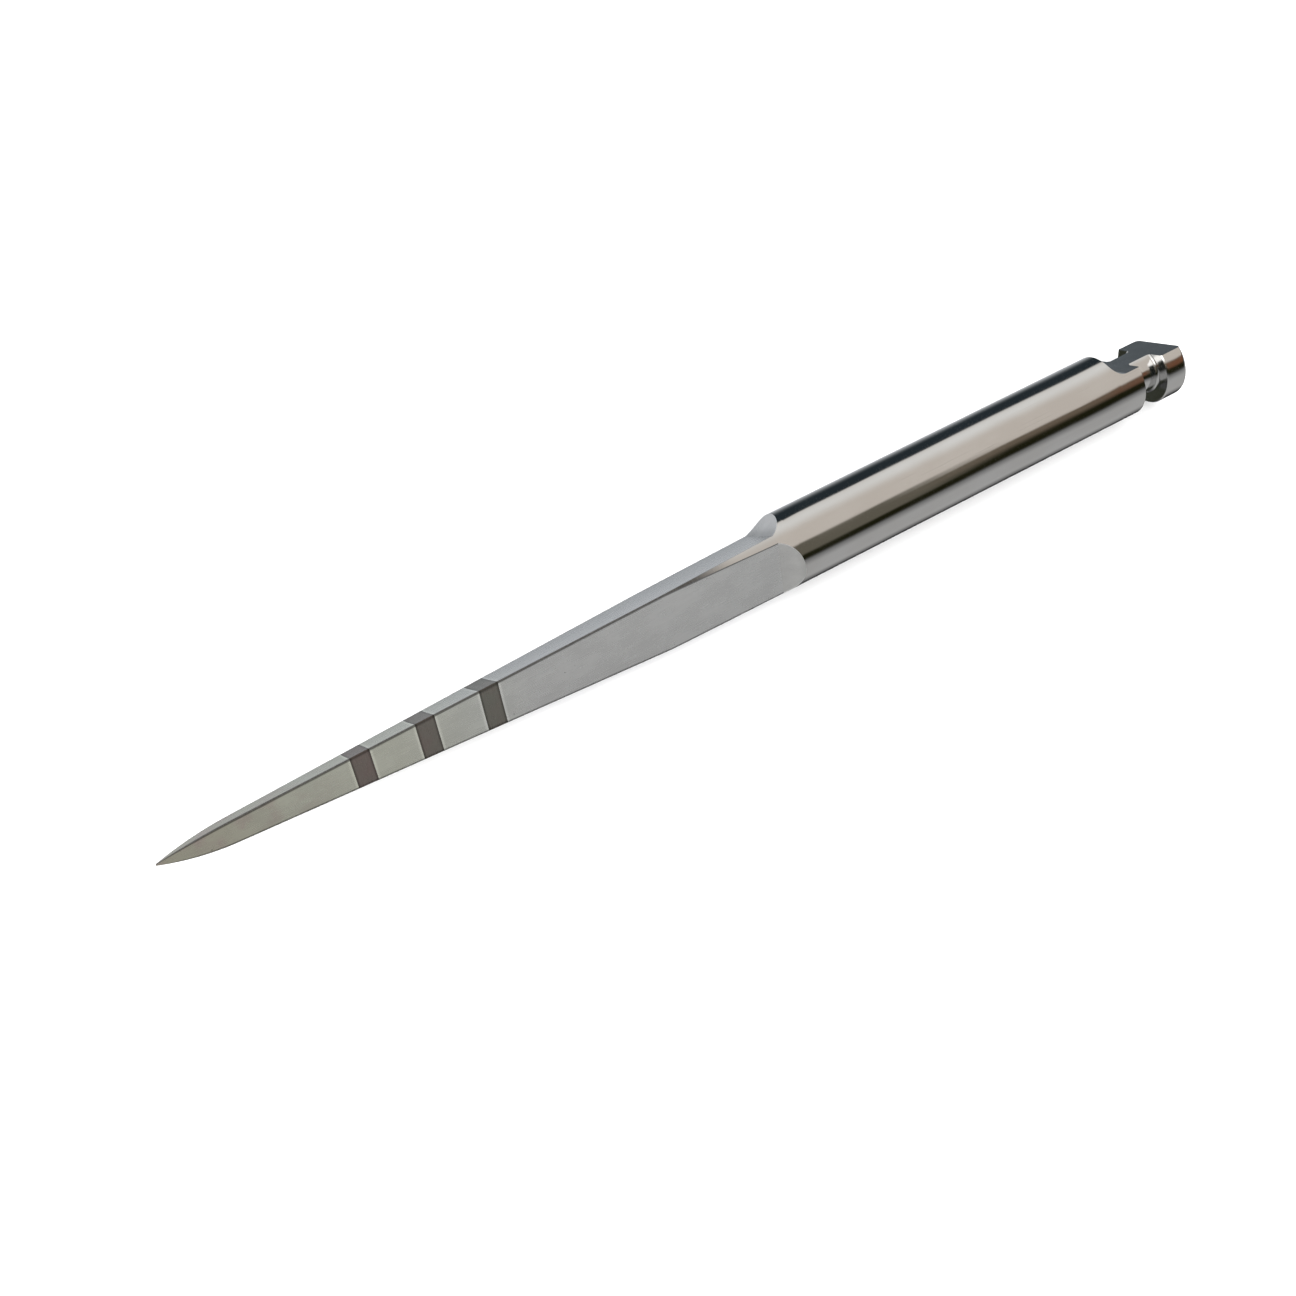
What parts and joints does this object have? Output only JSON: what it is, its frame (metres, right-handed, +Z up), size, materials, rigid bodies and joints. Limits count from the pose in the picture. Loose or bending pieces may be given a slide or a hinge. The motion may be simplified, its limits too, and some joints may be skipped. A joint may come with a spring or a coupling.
{
  "type": "latch-type rotary lance",
  "caption": "One-piece ground steel rotary lance with a three-sided tapered blade, dark depth bands, a round shank and a latch end with a flat and a groove.",
  "frame": {"origin": "under the middle of the tool's length, on the surface the round shank rests on; the tool's axis is 1.175 mm above it", "axes": "+X along the tool from the point to the latch end, +Z up through one edge of the three-sided blade, +Y completes the right-handed set (the drive flat faces between +Z and +Y)"},
  "size_m": [0.0354, 0.0024, 0.0023],
  "materials": {
    "steel": "mirror-polished turned shank, satin ground blade flats",
    "laser_mark": "dark matt laser-annealed steel skin"
  },
  "bodies": {
    "root": {"lance_body": "steel", "depth_mark_6": "laser_mark", "depth_mark_8": "laser_mark", "depth_mark_10": "laser_mark"}
  },
  "joints": []
}
